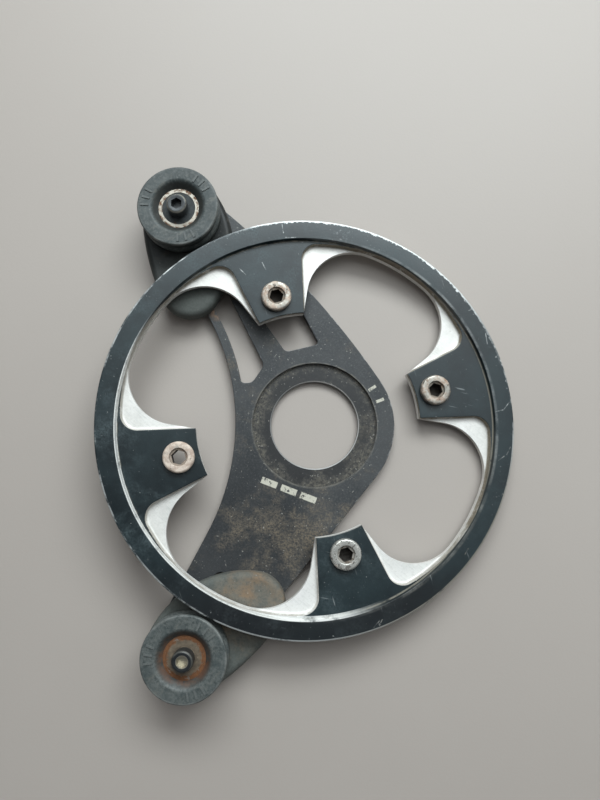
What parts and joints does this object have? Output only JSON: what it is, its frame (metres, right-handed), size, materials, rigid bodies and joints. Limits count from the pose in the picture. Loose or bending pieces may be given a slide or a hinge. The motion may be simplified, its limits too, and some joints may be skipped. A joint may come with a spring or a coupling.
{
  "type": "bicycle chain guide",
  "caption": "Bicycle chain guide: boomerang backplate with a bottom-bracket bore, egg-shaped blocks carrying ball-bearing rollers, and a pocketed bash ring lying on it.",
  "frame": {"origin": "centre of the bottom-bracket bore on the backplate's back face", "axes": "+Z along the bore, away from the bicycle's frame; +Y along the longest extent, towards the upper roller"},
  "size_m": [0.1638, 0.206, 0.0218],
  "materials": {
    "plate_black": "black anodised, worn to bare alloy along the edges",
    "ring_black": "black anodised, with bare machined pockets",
    "bolt_steel": "dull zinc plate with some rust",
    "block_black": "moulded, satin, dusty",
    "axle_black": "black oxide",
    "spacer_steel": "plain turned steel",
    "roller_grey": "cast polyurethane, dusty",
    "race_steel": "ground steel with rust spots",
    "seal_rubber": "moulded, dusty",
    "ball_steel": "polished",
    "cage_steel": "pressed sheet"
  },
  "bodies": {
    "base": {"backplate": "plate_black", "bash_ring": "ring_black", "chainring_bolts": "bolt_steel", "upper_block": "block_black", "upper_axle_bolt": "axle_black", "upper_spacer": "spacer_steel", "upper_inner_race": "race_steel", "lower_block": "block_black", "lower_axle_bolt": "axle_black", "lower_spacer": "spacer_steel", "lower_inner_race": "race_steel"},
    "upper_wheel": {"upper_roller": "roller_grey", "upper_outer_race": "race_steel", "upper_front_seal": "seal_rubber", "upper_rear_seal": "seal_rubber"},
    "upper_ball_train": {"upper_balls": "ball_steel", "upper_cage": "cage_steel"},
    "lower_wheel": {"lower_roller": "roller_grey", "lower_outer_race": "race_steel", "lower_front_seal": "seal_rubber", "lower_rear_seal": "seal_rubber"},
    "lower_ball_train": {"lower_balls": "ball_steel", "lower_cage": "cage_steel"}
  },
  "joints": [
    {"name": "upper_roller_spin", "type": "hinge", "parent": "base", "child": "upper_wheel", "pos_m": [-0.05423, 0.08551, 0.015], "axis": [0, 0, 1], "continuous": true},
    {"name": "upper_ball_orbit", "type": "hinge", "parent": "base", "child": "upper_ball_train", "pos_m": [-0.05423, 0.08551, 0.015], "axis": [0, 0, 1], "continuous": true},
    {"name": "lower_roller_spin", "type": "hinge", "parent": "base", "child": "lower_wheel", "pos_m": [-0.04857, -0.08691, 0.015], "axis": [0, 0, 1], "continuous": true},
    {"name": "lower_ball_orbit", "type": "hinge", "parent": "base", "child": "lower_ball_train", "pos_m": [-0.04857, -0.08691, 0.015], "axis": [0, 0, 1], "continuous": true}
  ],
  "couplings": [
    {"joint": "upper_ball_orbit", "follows": "upper_roller_spin", "ratio": 0.62381},
    {"joint": "lower_ball_orbit", "follows": "lower_roller_spin", "ratio": 0.62381}
  ]
}
